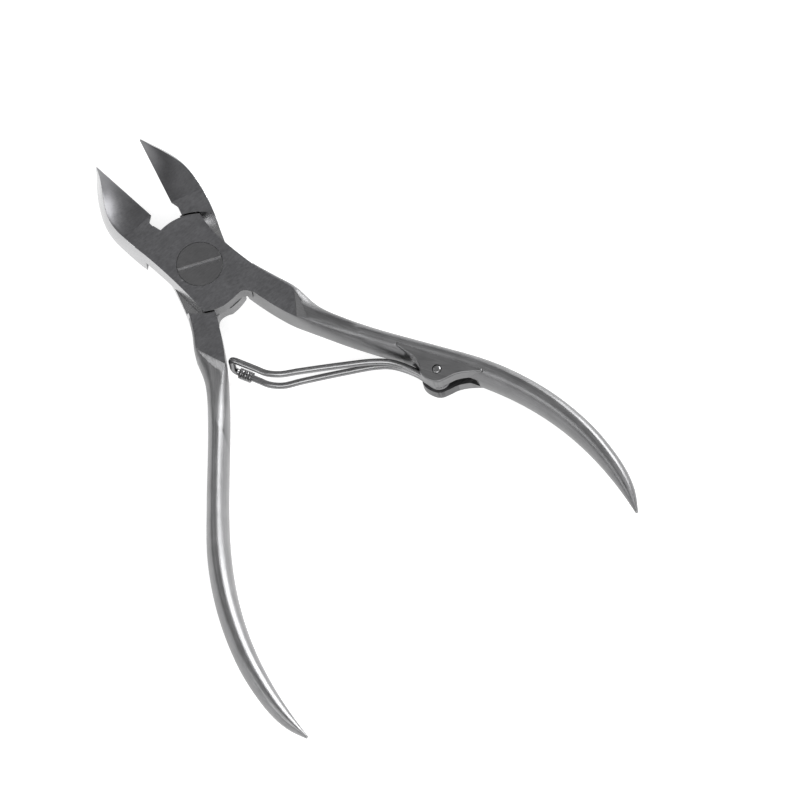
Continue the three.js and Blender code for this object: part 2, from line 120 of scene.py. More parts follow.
HANDLE_DEPTH = 9.5
HANDLE_THICKNESS = 4.3
RIGHT_HANDLE = {
    "side": 1,
    "root": (4, -7),
    "bend": (12.3, -41.5),
    "sweep": (42.2, -47.5),
    "tip": (38.7, -91.2),
    "crease": (10.4, -17.3),
    "crease_turn": 60,
    "neck": 4.75,
}
LEFT_HANDLE = {
    "side": -1,
    "root": (2.3, -7.1),
    "bend": (11.2, -37),
    "sweep": (39.7, -47.7),
    "tip": (38.3, -90.8),
    "crease": (9, -17.1),
    "crease_turn": 64,
    "neck": 5.3,
}
THICKNESS_ALONG = [
    (0.055, 1.26), (0.11, 1.34), (0.14, 1.21), (0.17, 1.07), (0.21, 1), (0.45, 1),
    (0.58, 1.09), (0.79, 1), (0.87, 0.88), (0.92, 0.75), (0.96, 0.53), (1, 0.14),
]
DEPTH_ALONG = [
    (0, 0.82), (0.12, 0.82), (0.2, 0.84), (0.3, 0.94), (0.42, 1), (0.65, 1),
    (0.78, 0.92), (0.88, 0.72), (0.95, 0.45), (1, 0.14),
]
BULGE_ALONG = [(0, 0), (0.1, 0.05), (0.2, 0.25), (0.6, 0.3), (0.85, 1), (1, 1)]
SQUARE_ALONG = [(0, 6), (0.11, 5), (0.17, 3), (0.26, 2.2), (0.4, 2), (1, 2)]

EDGE_ROUND = 0.09
SHARP_ANGLE = 32
FORGING_SMOOTH_ANGLE = 35
WIRE_SMOOTH_ANGLE = 40
ROUND_CREST_SHARE = 0.58
RAMP_ANGLE = 15
CUT_REACH = 42
HEAD_SEAT_RADIUS = 4.52
HEAD_SEAT_DEPTH = 1.5
SHANK_HOLE_RADIUS = 2.75
THREAD_HOLE_RADIUS = 2.25
PIN_HOLE_RADIUS = 0.93
LUG_RADIUS = 2.6
LUG_INSET = 0.05
LUG_ROUND = 0.3
SLOT_HALF = 1.55
SLOT_CUTTER_RADIUS = 13.5


# ---- Plain geometry ----


def turned(radius, degrees):
    return (radius * math.cos(math.radians(degrees)), radius * math.sin(math.radians(degrees)))


def arc(radius, start, end, steps, centre=(0, 0)):
    points = []
    for i in range(steps + 1):
        x, y = turned(radius, start + (end - start) * i / steps)
        points.append((centre[0] + x, centre[1] + y))
    return points


def bow(start, pull, end, steps=10):
    """Points after start on a curve that leaves and arrives along lines through pull."""
    points = []
    for i in range(1, steps + 1):
        t = i / steps
        a, b, c = (1 - t) ** 2, 2 * t * (1 - t), t * t
        points.append((a * start[0] + b * pull[0] + c * end[0], a * start[1] + b * pull[1] + c * end[1]))
    return points


def cubic(ends, t):
    a, b, c, d = (1 - t) ** 3, 3 * t * (1 - t) ** 2, 3 * t * t * (1 - t), t ** 3
    return tuple(a * p + b * q + c * r + d * s for p, q, r, s in zip(*ends))


def smooth(value, low, high):
    t = min(1, max(0, (value - low) / (high - low)))
    return t * t * (3 - 2 * t)


def along(pairs, place):
    """A smooth value at a place, through (place, value) pairs."""
    last = len(pairs) - 1
    i = 0
    while i < last - 1 and place > pairs[i + 1][0]:
        i += 1

    def slope(a, b):
        return (pairs[b][1] - pairs[a][1]) / (pairs[b][0] - pairs[a][0])

    (x0, y0), (x1, y1) = pairs[i], pairs[i + 1]
    t = min(1, max(0, (place - x0) / (x1 - x0)))
    blend = t * t * (3 - 2 * t)
    bend = slope(max(i - 1, 0), i + 1) * t * (1 - t) ** 2 - slope(i, min(i + 2, last)) * t * t * (1 - t)
    return y0 + (y1 - y0) * blend + bend * (x1 - x0)


# ---- Making pieces ----


def only(piece):
    bpy.ops.object.select_all(action="DESELECT")
    piece.select_set(True)
    bpy.context.view_layer.objects.active = piece


def fresh(name):
    """The new primitive, named, with its place in its mesh."""
    piece = bpy.context.object
    piece.name = name
    piece.data.name = name
    only(piece)
    bpy.ops.object.transform_apply(location=True, rotation=True, scale=True)
    return piece


def finish(piece, kind, **settings):
    only(piece)
    modifier = piece.modifiers.new(kind.title(), kind)
    for key, value in settings.items():
        setattr(modifier, key, value)
    bpy.ops.object.modifier_apply(modifier=modifier.name)


def combine(piece, other, operation):
    """Joins the other piece to this one or cuts it away, and clears it."""
    finish(piece, "BOOLEAN", object=other, operation=operation, solver="EXACT")
    bpy.data.objects.remove(other, do_unlink=True)


def face_outwards(piece):
    only(piece)
    bpy.ops.object.mode_set(mode="EDIT")
    bpy.ops.mesh.select_all(action="SELECT")
    bpy.ops.mesh.normals_make_consistent(inside=False)
    bpy.ops.object.mode_set(mode="OBJECT")


def drawn_bar(name, rings):
    """A round bar cut into rings along its length, each ring then drawn to its section in millimetres."""
    sides = len(rings[0])
    bpy.ops.object.select_all(action="DESELECT")
    bpy.ops.mesh.primitive_cylinder_add(vertices=sides, radius=1, depth=1)
    piece = fresh(name)
    bpy.ops.object.mode_set(mode="EDIT")
    bpy.ops.mesh.select_all(action="DESELECT")
    bpy.ops.mesh.select_mode(type="EDGE")
    shape = bmesh.from_edit_mesh(piece.data)
    for edge in shape.edges:
        edge.select = abs(edge.verts[0].co.z - edge.verts[1].co.z) > 0.5
    bmesh.update_edit_mesh(piece.data)
    bpy.ops.mesh.subdivide(number_cuts=len(rings) - 2)
    bpy.ops.object.mode_set(mode="OBJECT")
    for vertex in piece.data.vertices:
        turn = math.atan2(vertex.co.y, vertex.co.x) / (2 * math.pi)
        ring = rings[round((vertex.co.z + 0.5) * (len(rings) - 1))]
        vertex.co = Vector(ring[round(turn * sides) % sides]) * MM
    face_outwards(piece)
    return piece


def plate(name, outline, low, high):
    """A disc whose rim takes an outline in plan, drawn out from one height to another."""
    bpy.ops.object.select_all(action="DESELECT")
    bpy.ops.mesh.primitive_circle_add(vertices=len(outline), radius=1, fill_type="NGON")
    piece = fresh(name)
    for vertex, (x, y) in zip(piece.data.vertices, outline):
        vertex.co = Vector((x, y, low)) * MM
    bpy.ops.object.mode_set(mode="EDIT")
    bpy.ops.mesh.select_all(action="SELECT")
    bpy.ops.mesh.extrude_region_move(TRANSFORM_OT_translate={"value": (0, 0, (high - low) * MM)})
    bpy.ops.object.mode_set(mode="OBJECT")
    face_outwards(piece)
    return piece


def rod(name, radius, low, high, x=0, y=0, sides=96):
    bpy.ops.object.select_all(action="DESELECT")
    bpy.ops.mesh.primitive_cylinder_add(
        vertices=sides,
        radius=radius * MM,
        depth=(high - low) * MM,
        location=(x * MM, y * MM, (low + high) / 2 * MM),
    )
    return fresh(name)


def mirrored(piece):
    """Turns the piece into its mirror image across the YZ plane."""
    piece.data.transform(Matrix.Scale(-1, 4, (1, 0, 0)))
    face_outwards(piece)


def wire(name, points, radius, sides):
    """A round wire along points, with closed ends."""
    line = bpy.data.curves.new(name, "CURVE")
    line.dimensions = "3D"
    line.bevel_depth = radius * MM
    line.bevel_resolution = sides // 4 - 1
    line.use_fill_caps = True
    spline = line.splines.new("POLY")
    spline.points.add(len(points) - 1)
    for target, point in zip(spline.points, points):
        target.co = (*(Vector(point) * MM), 1)
    piece = bpy.data.objects.new(name, line)
    bpy.context.scene.collection.objects.link(piece)
    only(piece)
    bpy.ops.object.convert(target="MESH")
    piece = bpy.context.object
    face_outwards(piece)
    bpy.ops.object.shade_smooth_by_angle(angle=math.radians(WIRE_SMOOTH_ANGLE))
    return piece


# ---- Jaws ----


def jaw_outside(jaw, y):
    """How far out the jaw's outer edge stands at a reach along it."""
    ends = ((jaw["root"], JAW_ROOT), jaw["swell"], jaw["taper"], (TIP_WIDTH, JAW_REACH))
    low, high = 0.0, 1.0
    for _ in range(24):
        t = (low + high) / 2
        if cubic(ends, t)[1] < y:
            low = t
        else:
            high = t
    return cubic(ends, low)[0]


def crown_height(y):
    """The top of the jaw: flat up to the shoulder, then bowed down to the tip."""
    if y <= JAW_SHOULDER:
        return TOP
    run, drop = 6.2, TOP - 0.8
    reach = JAW_REACH - JAW_SHOULDER
    a = reach - 2 * run
    t = (-run + math.sqrt(run * run + a * (y - JAW_SHOULDER))) / a
    return TOP - drop * t * t


def jaw_ring(jaw, y):
    """One section, from the cutting edge over the top and the outside and back underneath."""
    to_heel = (y - HEEL_REACH) / (JAW_REACH - HEEL_REACH)
    behind = y < HEEL_REACH - 0.01
    notch = smooth(HEEL_REACH - y, 0.05, 0.9)
    inner = EDGE_LAND + (HEEL_STEP + (jaw["notch"] - HEEL_STEP) * notch if behind else 0)
    edge = TOP if behind else HEEL_HEIGHT + (TIP_HEIGHT - HEEL_HEIGHT) * to_heel
    outer = max(jaw_outside(jaw, y), inner + 0.2)
    top = crown_height(y)
    share = min(1, max(0, (y - 9.6) / (JAW_REACH - 9.6)))
    low = 1.5 * math.sin(math.pi * share) ** 1.3 + TIP_HEIGHT * share ** 3 * 0.5
    tall = top - low
    draft = jaw["draft"] * along(DRAFT_ALONG, (y - JAW_ROOT) / (JAW_REACH - JAW_ROOT))
    foot = min(inner + 0.28 * (edge - low), outer - 0.1)
    wide = outer - inner
    rise = 0 if behind else jaw["crown"] * (top - edge)
    strip = 0.05 + 0.4 * smooth(y, JAW_SHOULDER - 1, JAW_SHOULDER + 5) * min(1, wide / 2)
    ring = []
    for i in range(13):
        s = i / 12
        z = edge + (top - edge) * s + rise * math.sin(math.pi * s ** 1.3)
        ring.append((inner + (wide - strip) * s, z))
    drop = min(strip * 0.9, tall * 0.3)
    for i in range(9):
        s = i / 8
        belly = draft * (1 - (1 - s) ** 2)
        ring.append((outer + belly, top - drop - (tall - drop) * s))
    for i in range(1, 4):
        s = i / 4
        ring.append((outer + draft + (foot - outer - draft) * s, low + tall * 0.02 * math.sin(math.pi * s)))
    ring.append((foot, low))
    for i in range(1, 4):
        s = i / 4
        ring.append((foot + (inner - foot) * s, low + (edge - low) * s))
    return [(x, y, z) for x, z in ring]


def jaw_bar(name, jaw):
    """Sections close together along the edge, closer still over the heel's step, then on to the root."""
    blade, heel, root = 72, 11, 16
    heel_end = HEEL_REACH - 1.1
    places = [JAW_REACH - (JAW_REACH - HEEL_REACH) * i / blade for i in range(blade + 1)]
    places += [HEEL_REACH - 0.02 - 0.1 * i for i in range(heel)]
    places += [heel_end - (heel_end - JAW_ROOT) * i / root for i in range(1, root + 1)]
    piece = drawn_bar(name, [jaw_ring(jaw, y) for y in places])
    if jaw["side"] < 0:
        mirrored(piece)
    piece.data.transform(Matrix.Rotation(math.radians(jaw["turn"] - 90), 4, "Z"))
    return piece


def jaw_point(jaw, out, reach):
    """The place in plan at a reach along the jaw and a distance out from its edge line."""
    dx, dy = turned(1, jaw["turn"])
    return (dx * reach + dy * out * jaw["side"], dy * reach - dx * out * jaw["side"])


# ---- Handles ----

LINE_STEPS = 1000
HANDLE_SECTIONS = 140
HANDLE_SIDES = 72


def handle_line(handle):
    """Points along the handle's inner side and how far each is from the root."""
    ends = (handle["root"], handle["bend"], handle["sweep"], handle["tip"])
    fine = np.array([cubic(ends, i / LINE_STEPS) for i in range(LINE_STEPS + 1)])
    run = np.concatenate([[0], np.cumsum(np.linalg.norm(np.diff(fine, axis=0), axis=1))])
    return fine, run


def handle_stations(handle, count):
    """(share, place, way outwards) along the handle, closer together towards the tip."""
    fine, run = handle_line(handle)
    stations = []
    for i in range(count + 1):
        share = 1 - (1 - i / count) ** 1.2
        x = np.interp(share * run[-1], run, fine[:, 0])
        y = np.interp(share * run[-1], run, fine[:, 1])
        k = min(LINE_STEPS - 1, max(1, int(np.searchsorted(run, share * run[-1]))))
        way = fine[k + 1] - fine[k - 1]
        way = way / np.linalg.norm(way)
        stations.append((share, (x, y), (-way[1], way[0])))
    return stations


def handle_ring(handle, station, sides):
    """A section that is nearly square at the root and rounds over on both sides of a crest beyond it."""
    share, (x, y), (out_x, out_y) = station
    thickness = HANDLE_THICKNESS * along([(0, handle["neck"] / HANDLE_THICKNESS)] + THICKNESS_ALONG, share)
    depth = HANDLE_DEPTH * along(DEPTH_ALONG, share)
    bulge = along(BULGE_ALONG, share) * min(1, thickness / HANDLE_THICKNESS)
    square = along(SQUARE_ALONG, share)
    rounded = smooth(share, 0.12, 0.24)
    crest = bulge + max(0, ROUND_CREST_SHARE * thickness - bulge) * rounded
    ring = []
    for i in range(sides):
        angle = 2 * math.pi * i / sides
        outer = math.sin(angle) > 0
        power = 2 / (square if outer else square + 0.2 * rounded)
        out = math.copysign(abs(math.sin(angle)) ** power, math.sin(angle))
        up = math.copysign(abs(math.cos(angle)) ** power, math.cos(angle))
        across = crest + (thickness - crest) * out if outer else crest * (1 + out)
        ring.append((x + out_x * across, y + out_y * across, MIDDLE + depth / 2 * up))
    return ring


def handle_bar(name, handle):
    stations = handle_stations(handle, HANDLE_SECTIONS)
    return drawn_bar(name, [handle_ring(handle, station, HANDLE_SIDES) for station in stations])


def mark_run(piece, handle):
    """Writes on each point its run along the handle, its distance from the line and its height."""
    fine, run = handle_line(handle)
    fine = fine * (handle["side"], 1) * MM
    attribute = piece.data.attributes.new("brushing", "FLOAT_VECTOR", "POINT")
    for vertex, value in zip(piece.data.vertices, attribute.data):
        gaps = np.hypot(fine[:, 0] - vertex.co.x, fine[:, 1] - vertex.co.y)
        nearest = int(np.argmin(gaps))
        value.vector = (run[nearest] * MM, gaps[nearest], vertex.co.z)


def crease_way(handle):
    """The way in which the ground flat runs out, square to its crease."""
    return turned(1, handle["crease_turn"] - 90)


def flat_cut(handle, height, side):
    """What the grinding of the joint takes off a handle's root, ending in a ramp along a slanting crease."""
    ramp = HANDLE_DEPTH / math.tan(math.radians(RAMP_ANGLE))
    profile = [(-CUT_REACH, 0), (0, 0), (ramp, HANDLE_DEPTH), (-CUT_REACH, HANDLE_DEPTH)]
    cutter = plate("flat_cut", profile, -CUT_REACH, CUT_REACH)
    cutter.data.transform(Matrix.Rotation(math.radians(90), 4, "X"))
    if side < 0:
        cutter.data.transform(Matrix.Scale(-1, 4, (0, 0, 1)))
        face_outwards(cutter)
    cutter.data.transform(Matrix.Rotation(math.radians(handle["crease_turn"] - 90), 4, "Z"))
    crease = Vector((*handle["crease"], height)) * MM
    cutter.data.transform(Matrix.Translation(crease))
    return cutter


def ground_handle(piece, handle):
    """Grinds both faces of a handle's root and puts the handle on its own side."""
    combine(piece, flat_cut(handle, TOP, 1), "DIFFERENCE")
    combine(piece, flat_cut(handle, 0, -1), "DIFFERENCE")
    if handle["side"] < 0:
        mirrored(piece)


# ---- Lap plates ----


def front_plate():
    low = -HANDLE_LAP
    jaw_corner = jaw_point(LEFT_JAW, LEFT_JAW["root"] + 0.3, JAW_ROOT + 2)
    in_jaw = jaw_point(LEFT_JAW, LEFT_JAW["root"] / 2, HEEL_REACH - 2)
    notch_foot = jaw_point(LEFT_JAW, LEFT_JAW["notch"], HEEL_REACH - 2)
    shoulder = turned(HANDLE_LAP, -120)
    neck_x, neck_y = RIGHT_HANDLE["root"]
    outline = [jaw_corner]
    outline += bow(outline[-1], (-5.65, 0.3), shoulder, 24)
    outline += arc(HANDLE_LAP, -120, -96, 12)[1:]
    outline += bow(outline[-1], (0.9, low + 0.1), (2.9, low + 0.5))
    outline += bow(outline[-1], (neck_x, low + 0.5), (neck_x + 0.8, low - 0.8))
    outline += [(neck_x + 4.5, neck_y)]
    outline += bow(outline[-1], (7.2, -2.6), (6.5, 0.8), 16)
    outline += bow(outline[-1], (5.65, 4.5), turned(JAW_LAP, 55), 16)
    outline += arc(JAW_LAP, 55, 101.5, 28)[1:]
    outline += [notch_foot, in_jaw]
    piece = plate("front_plate", outline, MIDDLE + LAP_GAP / 2, TOP)
    flare_left_wall(piece)
    return piece


def flare_left_wall(piece):
    """The plate's left wall leans out by a third of a millimetre at its foot."""
    for vertex in piece.data.vertices:
        x, y, z = vertex.co / MM
        if z < MIDDLE + 1 and x < -3.5 and -9.2 < y < 9:
            vertex.co.x -= 0.35 * MM * smooth(y, -9, -5) * (1 - smooth(y, 7, 9))


def back_plate():
    low = -HANDLE_LAP
    jaw_corner = jaw_point(RIGHT_JAW, RIGHT_JAW["root"] + 0.2, JAW_ROOT + 2)
    in_jaw = jaw_point(RIGHT_JAW, RIGHT_JAW["root"] / 2, HEEL_REACH - 2)
    notch_foot = jaw_point(RIGHT_JAW, RIGHT_JAW["notch"], HEEL_REACH - 2)
    neck_x, neck_y = -LEFT_HANDLE["root"][0], LEFT_HANDLE["root"][1]
    outline = [jaw_corner, in_jaw, notch_foot]
    outline += arc(JAW_LAP, 74.5, 120, 28)
    outline += bow(outline[-1], (-5.2, 5.5), (-5.75, 3), 14)
    outline += bow(outline[-1], (-6.45, -1.6), (neck_x - 5.3, neck_y + 0.7), 14)
    outline += [(neck_x - 1, low - 0.6)]
    outline += bow(outline[-1], (neck_x - 0.5, low + 0.4), (-1.6, low + 0.4))
    outline += bow(outline[-1], (-0.7, low + 0.4), turned(HANDLE_LAP, -89))
    outline += arc(HANDLE_LAP, -89, -65, 12)[1:]
    outline += bow(outline[-1], (6.25, -0.5), jaw_corner, 20)[:-1]
    return plate("back_plate", outline, 0, MIDDLE - LAP_GAP / 2)


def lap_room(low, high):
    """The room that a half leaves round the other half's plate."""
    outline = arc(JAW_LAP + LAP_ROOM, 0, 180, 96) + arc(HANDLE_LAP + LAP_ROOM, 180, 360, 96)
    return plate("lap_room", outline, low, high)


# ---- Lug and slot on the right handle ----


def by_pin(ahead, out):
    """A place by the pin: how far along the handle towards its tip, and how far out."""
    forward, sideways = turned(ahead, PIN_TURN), turned(out, PIN_TURN + 90)
    return (PIN_X + forward[0] + sideways[0], PIN_Y + forward[1] + sideways[1])


def lug():
    """The lug that holds the pin: it rises from the handle before the pin and sinks back into it behind."""
    outline = [by_pin(-9.4, 2.8), by_pin(-9.2, 2.1)]
    outline += bow(outline[-1], by_pin(-6.2, 1.4), by_pin(-4.9, 0.75), 8)
    outline += bow(outline[-1], by_pin(-3.7, 0.2), by_pin(-2.95, -1.5), 8)
    outline += bow(outline[-1], by_pin(-2.08, -2.6), by_pin(0, -LUG_RADIUS), 10)
    outline += arc(LUG_RADIUS, PIN_TURN - 90, PIN_TURN - 40, 14, (PIN_X, PIN_Y))[1:]
    outline += bow(outline[-1], by_pin(2.6, -1.1), by_pin(3.3, -0.3), 8)
    outline += bow(outline[-1], by_pin(4.8, 1.2), by_pin(8.6, 2.3), 12)
    outline += [by_pin(8.2, 3)]
    low, high = MIDDLE - HANDLE_DEPTH / 2 + LUG_INSET, MIDDLE + HANDLE_DEPTH / 2 - LUG_INSET
    piece = plate("lug", outline, low, high)
    finish(
        piece,
        "BEVEL",
        width=LUG_ROUND * MM,
        segments=4,
        limit_method="ANGLE",
        angle_limit=math.radians(60),
    )
    return piece


def spring_slot():
    """The slot for the spring's eyes, cut by a wide milling wheel, so its floor is hollow."""
    x, y = by_pin(1.1, 1.1 + 2.1 - SLOT_CUTTER_RADIUS)
    return rod("slot", SLOT_CUTTER_RADIUS, MIDDLE - SLOT_HALF, MIDDLE + SLOT_HALF, x, y, 160)


# ---- The two halves ----


def tidy_mesh(piece):
    """Joins points that meet and clears the lines that cross a flat."""
    only(piece)
    bpy.ops.object.mode_set(mode="EDIT")
    bpy.ops.mesh.select_all(action="SELECT")
    bpy.ops.mesh.remove_doubles(threshold=0.002 * MM)
    bpy.ops.mesh.dissolve_limited(angle_limit=math.radians(0.05))
    bpy.ops.mesh.normals_make_consistent(inside=False)
    bpy.ops.object.mode_set(mode="OBJECT")


def break_edges(piece, width):
    """Breaks the sharp edges a little, keeps the flats flat and shades the rest smooth."""
    finish(
        piece,
        "BEVEL",
        width=width * MM,
        segments=2,
        limit_method="ANGLE",
        angle_limit=math.radians(SHARP_ANGLE),
        use_clamp_overlap=True,
        miter_outer="MITER_ARC",
    )
    bpy.ops.object.shade_smooth_by_angle(angle=math.radians(FORGING_SMOOTH_ANGLE))
    finish(piece, "WEIGHTED_NORMAL", keep_sharp=True, weight=100)
    return piece


def front_half():
    piece = handle_bar("front_forging", RIGHT_HANDLE)
    combine(piece, lug(), "UNION")
    ground_handle(piece, RIGHT_HANDLE)
    combine(piece, jaw_bar("left_jaw", LEFT_JAW), "UNION")
    combine(piece, lap_room(-HANDLE_DEPTH, MIDDLE + LAP_GAP / 2), "DIFFERENCE")
    combine(piece, front_plate(), "UNION")
    head_seat = rod("head_seat", HEAD_SEAT_RADIUS, TOP - HEAD_SEAT_DEPTH, TOP + 2, sides=128)
    combine(piece, head_seat, "DIFFERENCE")
    combine(piece, rod("shank_hole", SHANK_HOLE_RADIUS, 0, TOP, sides=96), "DIFFERENCE")
    combine(piece, spring_slot(), "DIFFERENCE")
    pin_hole = rod("pin_hole", PIN_HOLE_RADIUS, -HANDLE_DEPTH, 2 * HANDLE_DEPTH, PIN_X, PIN_Y, 64)
    combine(piece, pin_hole, "DIFFERENCE")
    tidy_mesh(piece)
    return break_edges(piece, EDGE_ROUND)


def back_half():
    piece = handle_bar("back_forging", LEFT_HANDLE)
    ground_handle(piece, LEFT_HANDLE)
    combine(piece, jaw_bar("right_jaw", RIGHT_JAW), "UNION")
    combine(piece, lap_room(MIDDLE - LAP_GAP / 2, 2 * HANDLE_DEPTH), "DIFFERENCE")
    combine(piece, back_plate(), "UNION")
    combine(piece, rod("thread_hole", THREAD_HOLE_RADIUS, -1, TOP, sides=96), "DIFFERENCE")
    tidy_mesh(piece)
    return break_edges(piece, EDGE_ROUND)


# ---- Screw, pin and spring ----

SCREW_RADIUS = (SCREW_HIGH[0] - SCREW_LOW[0]) / 2 / MM
SCREW_TURN = -19
SCREW_HEAD_DEPTH = 1.45
SCREW_EDGE_ROUND = 0.12
SCREW_SLOT_WIDTH = 0.85
SCREW_SLOT_DEPTH = 0.7
SHANK_RADIUS = 2.7
THREAD_RADIUS = 2.2
WIRE_RADIUS = 0.65
LOOP = (-6.28, -19.6)
LOOP_HALF = 3.2
LOOP_CORNER = 1.2
EYE_HALF = 0.74
EYE_GAP = 0.08
PIN_RADIUS = 0.9
PIN_END_ROUND = 0.45
ROUTE = [(-2.5, -26), (-0.5, -27.8), (2.9, -29.4), (10.2, -33), (16, -36.1), (18.6, -38.2), (21.3, -42.4)]
SLEEVE_RADIUS = 1.1
SLEEVE_START = 1.1
SLEEVE_LENGTH = 2.9
SLEEVE_TURNS = 9
TURN_STEPS = 20
TURN_OVERLAP = 1.02


def screw():
    """A slotted head, a shank for the front plate and a thinner end for the back one; no thread is cut."""
    piece = rod("slotted_screw", SCREW_RADIUS, TOP - SCREW_HEAD_DEPTH, TOP, sides=128)
    combine(piece, rod("shank", SHANK_RADIUS, MIDDLE, TOP - 0.5), "UNION")
    combine(piece, rod("thread_end", THREAD_RADIUS, 0, TOP - 0.5), "UNION")
    bpy.ops.object.select_all(action="DESELECT")
    bpy.ops.mesh.primitive_cube_add(size=1)
    slot = bpy.context.object
    slot.scale = (2.3 * SCREW_RADIUS * MM, SCREW_SLOT_WIDTH * MM, 2 * SCREW_SLOT_DEPTH * MM)
    slot.rotation_euler.z = math.radians(SCREW_TURN)
    slot.location.z = TOP * MM
    combine(piece, fresh("screw_slot"), "DIFFERENCE")
    tidy_mesh(piece)
    return break_edges(piece, SCREW_EDGE_ROUND)


def pin():
    """The spring pin, its ends rounded over by the riveting."""
    low, high = PIN_LOW[2] / MM, PIN_HIGH[2] / MM
    piece = rod("rivet_pin", PIN_RADIUS, low, high, PIN_X, PIN_Y, 48)
    finish(
        piece,
        "BEVEL",
        width=PIN_END_ROUND * MM,
        segments=6,
        limit_method="ANGLE",
        angle_limit=math.radians(60),
    )
    bpy.ops.object.shade_smooth_by_angle(angle=math.radians(WIRE_SMOOTH_ANGLE))
    return piece


def through(points, steps):
    """A smooth line through points, even where they are unevenly spaced."""
    p = [Vector(point) for point in points]
    p = [2 * p[0] - p[1]] + p + [2 * p[-1] - p[-2]]
    line = []
    for a, b, c, d in zip(p, p[1:], p[2:], p[3:]):
        before, here, after = ((one - two).length ** 0.5 for one, two in ((a, b), (b, c), (c, d)))
        leave = ((b - a) / before - (c - a) / (before + here) + (c - b) / here) * here
        arrive = ((c - b) / here - (d - b) / (here + after) + (d - c) / after) * here
        for i in range(steps):
            t = i / steps
            line.append(
                b * (2 * t ** 3 - 3 * t * t + 1)
                + leave * (t ** 3 - 2 * t * t + t)
                + c * (3 * t * t - 2 * t ** 3)
                + arrive * (t ** 3 - t * t)
            )
    return line + [p[-2]]


def leg_way():
    """The way in plan in which the legs leave the loop."""
    way = Vector((ROUTE[0][0] - LOOP[0], ROUTE[0][1] - LOOP[1]))
    return way.normalized()


def leg(side):
    """Points from the loop's middle along one leg and round the pin; side is 1 in front, -1 behind."""
    way = leg_way()
    bend = LOOP_CORNER * (1 - math.sqrt(0.5))
    points = [(*LOOP, MIDDLE), (*LOOP, MIDDLE + side * (LOOP_HALF - LOOP_CORNER))]
    points.append((LOOP[0] + way.x * bend, LOOP[1] + way.y * bend, MIDDLE + side * (LOOP_HALF - bend)))
    for run in (LOOP_CORNER, 2.5, 4, 5.5):
        points.append((LOOP[0] + way.x * run, LOOP[1] + way.y * run, MIDDLE + side * LOOP_HALF))
    for x, y in ROUTE:
        share = min(1, max(0, (x - ROUTE[1][0]) / (ROUTE[-1][0] - ROUTE[1][0])))
        points.append((x, y, MIDDLE + side * (LOOP_HALF + (EYE_HALF - LOOP_HALF) * share)))
    return points + eye(side)


def eye(side):
    """Half a turn round the pin, with a short tail behind it."""
    radius = PIN_RADIUS + EYE_GAP + WIRE_RADIUS
    over_x, over_y = PIN_X - ROUTE[-1][0], PIN_Y - ROUTE[-1][1]
    first = math.degrees(math.atan2(over_y, over_x) - math.asin(radius / math.hypot(over_x, over_y))) - 90
    height = MIDDLE + side * EYE_HALF
    points = [(*place, height) for place in arc(radius, first, PIN_TURN + 90, 10, (PIN_X, PIN_Y))]
    return points + [(*by_pin(-2, radius), height)]


def spring():
    return wire("bent_wire", through(leg(-1)[::-1] + leg(1)[1:], 6), WIRE_RADIUS, 24)


def sleeve():
    """A close-wound coil of fine wire on the rear leg, beside the loop."""
    way = leg_way()
    fine = SLEEVE_LENGTH / SLEEVE_TURNS / 2
    radius = SLEEVE_RADIUS - fine
    points = []
    steps = (SLEEVE_TURNS - 1) * TURN_STEPS
    for i in range(steps + 1):
        turn = 2 * math.pi * i / TURN_STEPS
        run = SLEEVE_START + fine + (SLEEVE_LENGTH - 2 * fine) * i / steps
        side = radius * math.cos(turn)
        x = LOOP[0] + way.x * run - way.y * side
        y = LOOP[1] + way.y * run + way.x * side
        points.append((x, y, MIDDLE - LOOP_HALF + radius * math.sin(turn)))
    return wire("coiled_sleeve", points, fine * TURN_OVERLAP, 8)


# ---- Materials ----

GRAIN_LOW = 0.3
GRAIN_HIGH = 0.7
GRAIN_ROUGHNESS_STEP = 0.05
CLOUD_SIZE = 4
CLOUD_SHARE = 0.6
BRUSHED_STRETCH = 0.5
# Real brushing is about 0.05 mm from line to line and too fine to show here, so every grain is drawn
# 0.1 to 0.3 mm across: coarse enough to be seen.


def linear(colour):
    """An sRGB hex colour as linear light."""
    parts = [int(colour[i:i + 2], 16) / 255 for i in (1, 3, 5)]
    return (*[p / 12.92 if p <= 0.04045 else ((p + 0.055) / 1.055) ** 2.4 for p in parts], 1)


def node(material, kind, links=None, **settings):
    """Adds a node. Settings name its properties or inputs; links name its inputs and give the outputs."""
    made = material.node_tree.nodes.new(kind)
    for key, value in settings.items():
        if hasattr(made, key):
            setattr(made, key, value)
        else:
            made.inputs[key.replace("_", " ")].default_value = value
    for key, output in (links or {}).items():
        material.node_tree.links.new(output, made.inputs[key])
    return made


